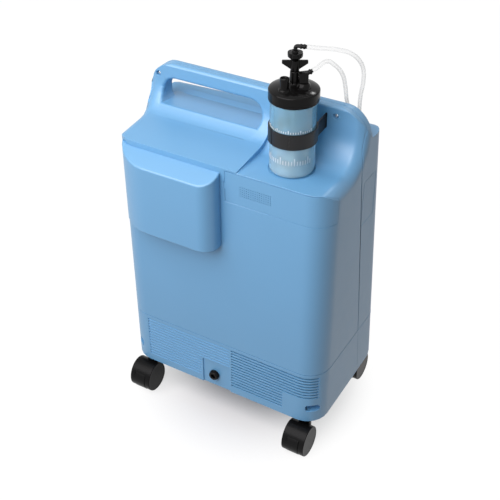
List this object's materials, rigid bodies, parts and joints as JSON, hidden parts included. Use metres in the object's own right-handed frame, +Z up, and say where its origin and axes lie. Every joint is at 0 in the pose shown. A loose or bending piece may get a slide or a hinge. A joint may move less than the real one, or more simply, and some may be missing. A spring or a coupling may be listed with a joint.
{
  "type": "oxygen concentrator",
  "caption": "Floor-standing home oxygen concentrator in a light blue case with a carrying handle and swivel casters, a bubble humidifier strapped on top and tubes to its outlet.",
  "frame": {"origin": "centre of the bounding box at the floor, where the wheels touch", "axes": "+Z up; -Y towards the rear face with the filter door, base louvres and bottle; +Y towards the control front; +X towards the bottle side"},
  "size_m": [0.365, 0.263, 0.6839],
  "materials": {
    "case_plastic": "satin moulded light blue",
    "caster_plastic": "satin black",
    "steel": "plated",
    "tread": "smooth black",
    "black_plastic": "satin black",
    "fitting_plastic": "gloss black",
    "aluminium": "cast",
    "clear_plastic": "clear moulded",
    "white_plastic": "satin white",
    "inner_plastic": "moulded grey",
    "tubing": "clear soft",
    "webbing": "black webbing",
    "foam": "open-cell foam",
    "board": "solder mask",
    "lens": "clear green"
  },
  "bodies": {
    "case": {"base_screw_left": "steel", "base_screw_right": "steel", "base_tray": "case_plastic", "bottle_strap": "webbing", "cannula_outlet": "aluminium", "circuit_board": "board", "compressor_head_left": "aluminium", "compressor_head_right": "aluminium", "compressor_motor": "aluminium", "control_plate": "white_plastic", "cord_gland": "black_plastic", "dip_tube": "white_plastic", "exhaust_muffler": "black_plastic", "fan_frame": "black_plastic", "filter_housing": "inner_plastic", "flowmeter_body": "clear_plastic", "front_shell": "case_plastic", "handle_screw_left": "steel", "handle_screw_right": "steel", "header_panel": "case_plastic", "heat_exchanger": "aluminium", "hour_meter": "black_plastic", "humidifier_jar": "clear_plastic", "humidifier_lid": "fitting_plastic", "indicator_lens": "lens", "inlet_elbow": "fitting_plastic", "intake_filter": "foam", "outlet_spout": "fitting_plastic", "oxygen_outlet": "white_plastic", "partition": "inner_plastic", "product_tank": "white_plastic", "rear_shell": "case_plastic", "relief_valve": "fitting_plastic", "return_port": "white_plastic", "return_tube": "tubing", "sieve_bed_left": "aluminium", "sieve_bed_right": "aluminium", "supply_tube": "tubing", "valve_manifold": "aluminium"},
    "filter_door": {"filter_door": "case_plastic"},
    "power_rocker": {"power_rocker": "black_plastic"},
    "flow_knob": {"flow_knob": "black_plastic"},
    "flowmeter_ball": {"flowmeter_ball": "steel"},
    "fan_rotor": {"fan_rotor": "black_plastic"},
    "wing_nut": {"wing_nut": "fitting_plastic"},
    "collar_nut": {"collar_nut": "fitting_plastic"},
    "front_left_caster": {"front_left_fork": "caster_plastic", "front_left_stem": "steel"},
    "front_left_wheel": {"front_left_wheel": "tread"},
    "front_right_caster": {"front_right_fork": "caster_plastic", "front_right_stem": "steel"},
    "front_right_wheel": {"front_right_wheel": "tread"},
    "rear_left_caster": {"rear_left_fork": "caster_plastic", "rear_left_stem": "steel"},
    "rear_left_wheel": {"rear_left_wheel": "tread"},
    "rear_right_caster": {"rear_right_fork": "caster_plastic", "rear_right_stem": "steel"},
    "rear_right_wheel": {"rear_right_wheel": "tread"}
  },
  "joints": [
    {"name": "front_left_swivel", "type": "hinge", "parent": "case", "child": "front_left_caster", "pos_m": [-0.152, 0.08375, 0.0625], "axis": [0, 0, 1], "continuous": true},
    {"name": "front_left_roll", "type": "hinge", "parent": "front_left_caster", "child": "front_left_wheel", "pos_m": [-0.152, 0.10595, 0.0256], "axis": [1, 0, 0], "continuous": true},
    {"name": "front_right_swivel", "type": "hinge", "parent": "case", "child": "front_right_caster", "pos_m": [0.152, 0.08375, 0.0625], "axis": [0, 0, 1], "continuous": true},
    {"name": "front_right_roll", "type": "hinge", "parent": "front_right_caster", "child": "front_right_wheel", "pos_m": [0.152, 0.10595, 0.0256], "axis": [1, 0, 0], "continuous": true},
    {"name": "rear_left_swivel", "type": "hinge", "parent": "case", "child": "rear_left_caster", "pos_m": [-0.152, -0.08075, 0.0625], "axis": [0, 0, 1], "continuous": true},
    {"name": "rear_left_roll", "type": "hinge", "parent": "rear_left_caster", "child": "rear_left_wheel", "pos_m": [-0.152, -0.10295, 0.0256], "axis": [1, 0, 0], "continuous": true},
    {"name": "rear_right_swivel", "type": "hinge", "parent": "case", "child": "rear_right_caster", "pos_m": [0.152, -0.08075, 0.0625], "axis": [0, 0, 1], "continuous": true},
    {"name": "rear_right_roll", "type": "hinge", "parent": "rear_right_caster", "child": "rear_right_wheel", "pos_m": [0.152, -0.10295, 0.0256], "axis": [1, 0, 0], "continuous": true},
    {"name": "filter_door_hinge", "type": "hinge", "parent": "case", "child": "filter_door", "pos_m": [0.0085, -0.10145, 0.43], "axis": [0, 0, 1], "range_deg": [0, 85]},
    {"name": "power_rocker_pivot", "type": "hinge", "parent": "case", "child": "power_rocker", "pos_m": [-0.048, 0.08611, 0.43465], "axis": [-1, 0, 0], "range_deg": [0, 16]},
    {"name": "flow_knob_turn", "type": "hinge", "parent": "case", "child": "flow_knob", "pos_m": [0, 0.11738, 0.34746], "axis": [0, 0.9944, 0.1054], "range_deg": [0, 540]},
    {"name": "flowmeter_ball_rise", "type": "slide", "parent": "case", "child": "flowmeter_ball", "axis": [0, -0.1054, 0.9944], "range_m": [0, 0.055]},
    {"name": "fan_spin", "type": "hinge", "parent": "case", "child": "fan_rotor", "pos_m": [0.062, 0.00575, 0.251], "axis": [0, 0, 1], "continuous": true},
    {"name": "wing_nut_turn", "type": "hinge", "parent": "case", "child": "wing_nut", "pos_m": [0.0945, -0.04655, 0.654], "axis": [0, 0, 1], "continuous": true},
    {"name": "collar_nut_turn", "type": "hinge", "parent": "case", "child": "collar_nut", "pos_m": [0.0945, -0.04655, 0.667], "axis": [0, 0, 1], "continuous": true}
  ],
  "couplings": [
    {"joint": "flowmeter_ball_rise", "follows": "flow_knob_turn", "m_per_rad": 0.005835}
  ]
}
